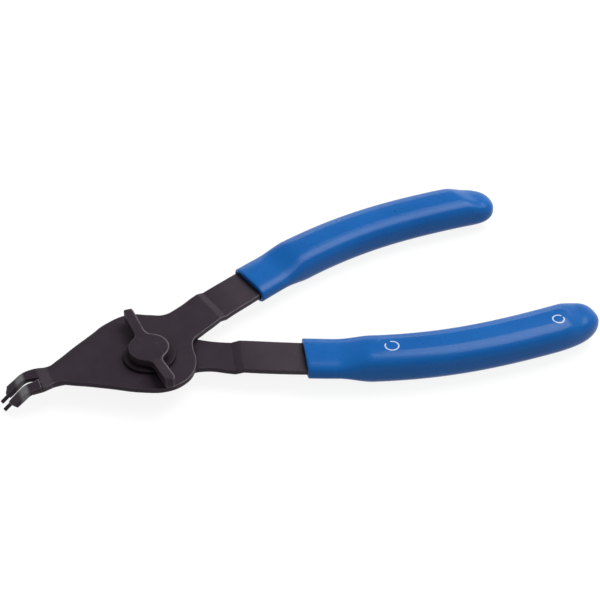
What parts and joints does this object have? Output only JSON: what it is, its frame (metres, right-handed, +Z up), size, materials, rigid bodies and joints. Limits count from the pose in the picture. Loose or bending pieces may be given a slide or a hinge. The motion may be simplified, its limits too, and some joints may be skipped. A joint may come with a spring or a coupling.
{
  "type": "circlip pliers",
  "caption": "Circlip pliers with flat stamped levers, down-bent jaws ending in round pins, a wing screw that clamps the pivot, and slide-on moulded grips.",
  "frame": {"origin": "on the pivot axis, at the flat underside of the pivot post", "axes": "+Z up the pivot axis towards the wing screw, +X along the tool towards the grips, -X towards the pins"},
  "size_m": [0.1865, 0.0877, 0.014],
  "materials": {
    "blackened_steel": "black oxide with bright worn edges",
    "black_cast_steel": "black oxide over a cast skin, worn on the corners",
    "grip_vinyl": "satin moulded vinyl"
  },
  "bodies": {
    "fixed_lever": {"lower_lever": "blackened_steel", "lower_grip": "grip_vinyl", "pivot_post": "black_cast_steel"},
    "moving_lever": {"upper_lever": "blackened_steel", "upper_grip": "grip_vinyl"},
    "washer": {"pivot_washer": "blackened_steel"},
    "screw": {"wing_screw": "black_cast_steel"}
  },
  "joints": [
    {"name": "jaw_pivot", "type": "hinge", "parent": "fixed_lever", "child": "moving_lever", "pos_m": [0, 0, 0.0045], "axis": [0, 0, 1], "range_deg": [-21, 0.7]},
    {"name": "wing_turn", "type": "hinge", "parent": "fixed_lever", "child": "washer", "pos_m": [0, 0, 0.006], "axis": [0, 0, 1], "range_deg": [0, 1080]},
    {"name": "wing_rise", "type": "slide", "parent": "washer", "child": "screw", "axis": [0, 0, 1], "range_m": [0, 0.003]}
  ],
  "couplings": [
    {"joint": "wing_rise", "follows": "wing_turn", "m_per_rad": 0.00015915}
  ]
}
